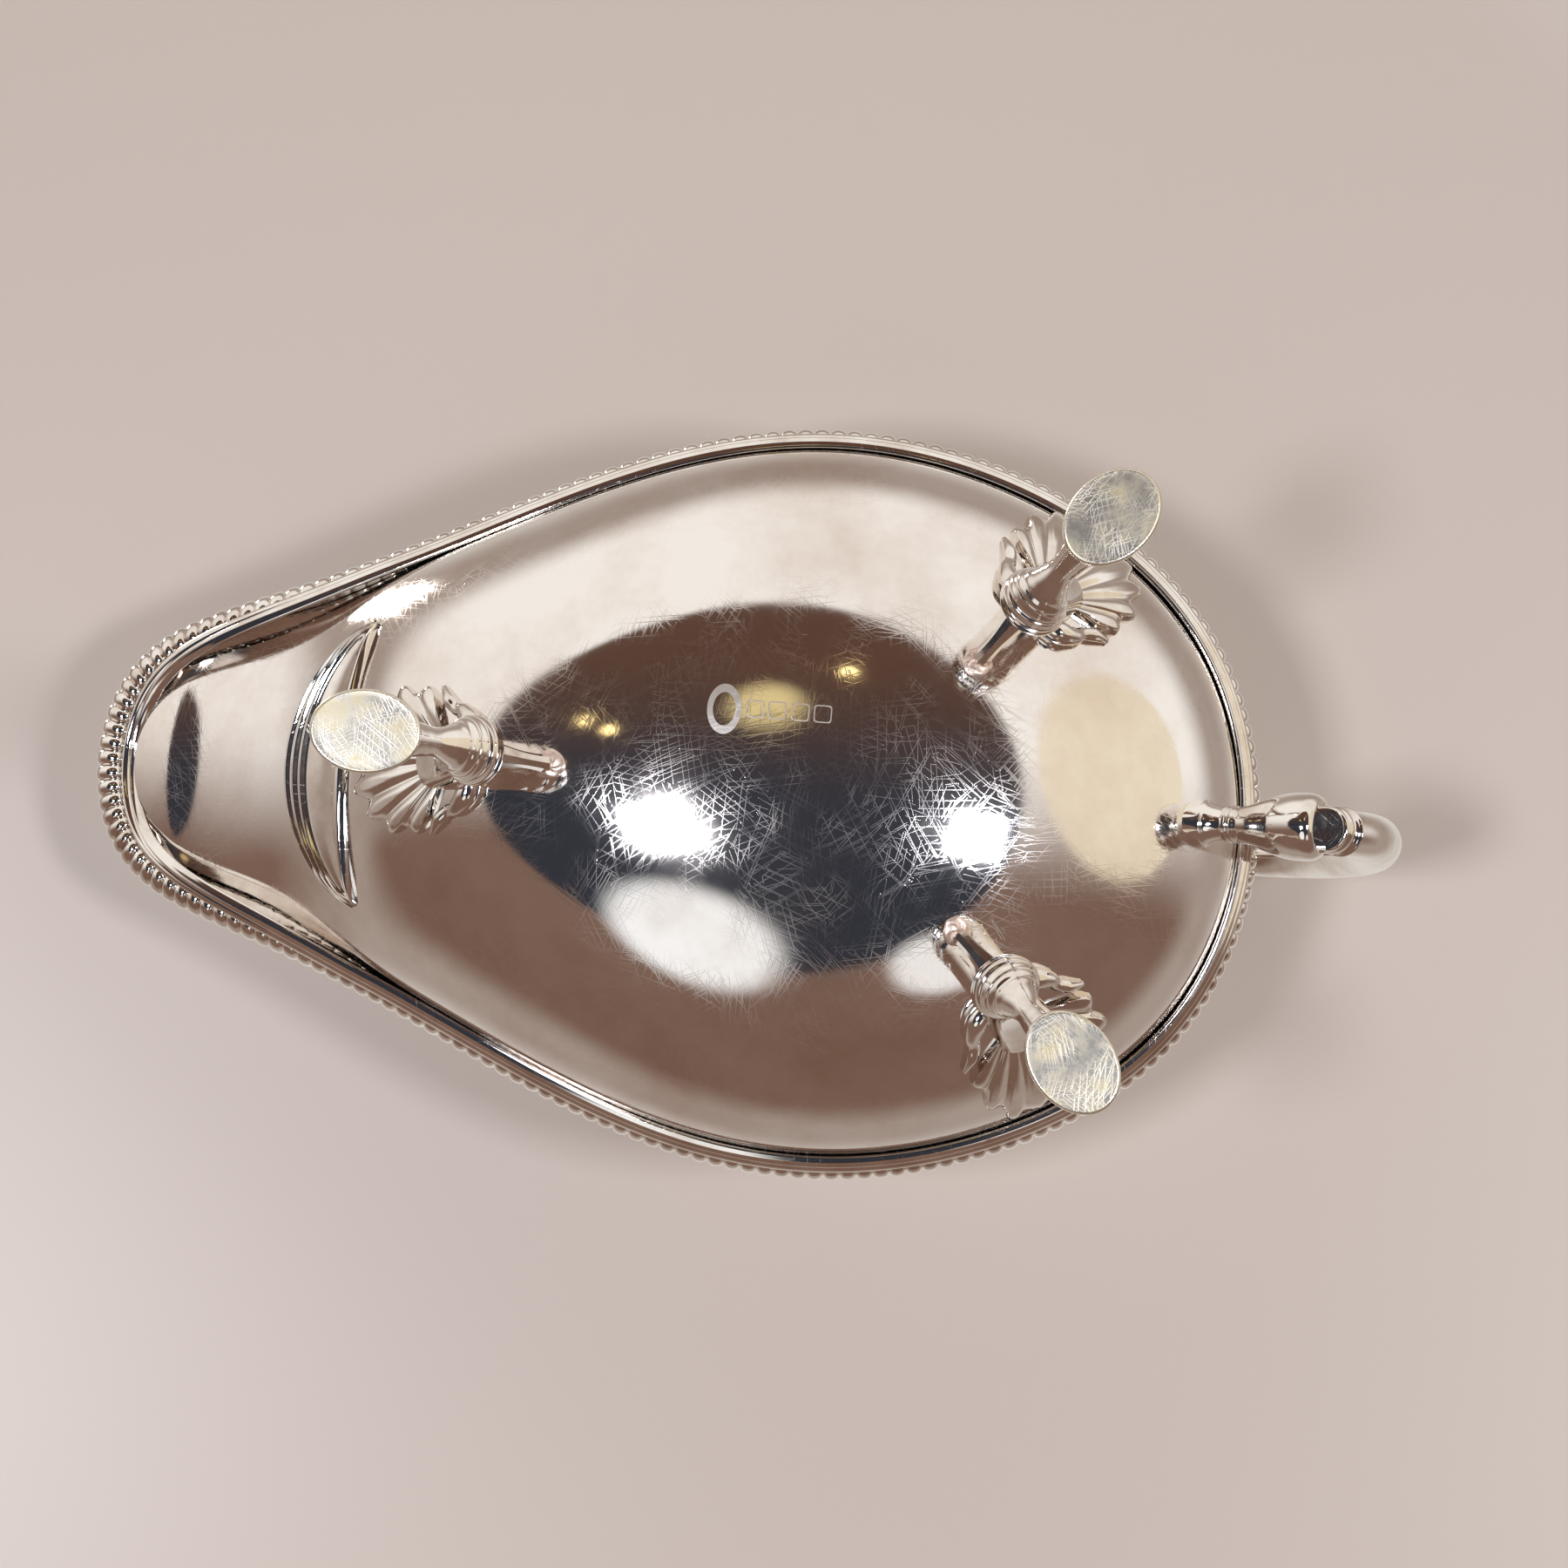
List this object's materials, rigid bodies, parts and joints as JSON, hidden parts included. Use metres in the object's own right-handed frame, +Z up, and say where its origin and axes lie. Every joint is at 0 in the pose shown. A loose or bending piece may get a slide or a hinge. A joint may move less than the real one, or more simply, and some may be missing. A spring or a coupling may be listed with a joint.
{
  "type": "sauce boat",
  "caption": "Silver sauce boat with a deep belly, flared lip, gadrooned rim, scallop-shell feet on oval pads and a free scroll handle.",
  "frame": {"origin": "on the table under the middle of the overall length and width", "axes": "+X towards the handle, the lip to -X, +Z up from the feet to the rim"},
  "size_m": [0.2036, 0.1154, 0.1004],
  "materials": {
    "polished_silver": "raised sterling silver, mirror polished, with fine swirl scratches",
    "cast_silver": "cast sterling silver, polished, darker in the hollows",
    "worn_silver": "worn sterling silver with light yellow tarnish and scratches",
    "solder": "silver solder with a pinkish fire stain"
  },
  "bodies": {
    "root": {"bowl": "polished_silver", "foot_pad_front": "worn_silver", "foot_pad_rear_left": "worn_silver", "foot_pad_rear_right": "worn_silver", "gadroon_border": "cast_silver", "handle_bell": "cast_silver", "handle_collar": "cast_silver", "handle_scroll": "cast_silver", "handle_socket": "cast_silver", "leg_front": "cast_silver", "leg_rear_left": "cast_silver", "leg_rear_right": "cast_silver", "lip_drop": "cast_silver", "rim_moulding": "cast_silver", "scroll_bead": "cast_silver", "shell_front": "cast_silver", "shell_rear_left": "cast_silver", "shell_rear_right": "cast_silver", "stay_disc_front": "solder", "stay_disc_rear_left": "solder", "stay_disc_rear_right": "solder", "stay_front": "cast_silver", "stay_rear_left": "cast_silver", "stay_rear_right": "cast_silver"}
  },
  "joints": []
}
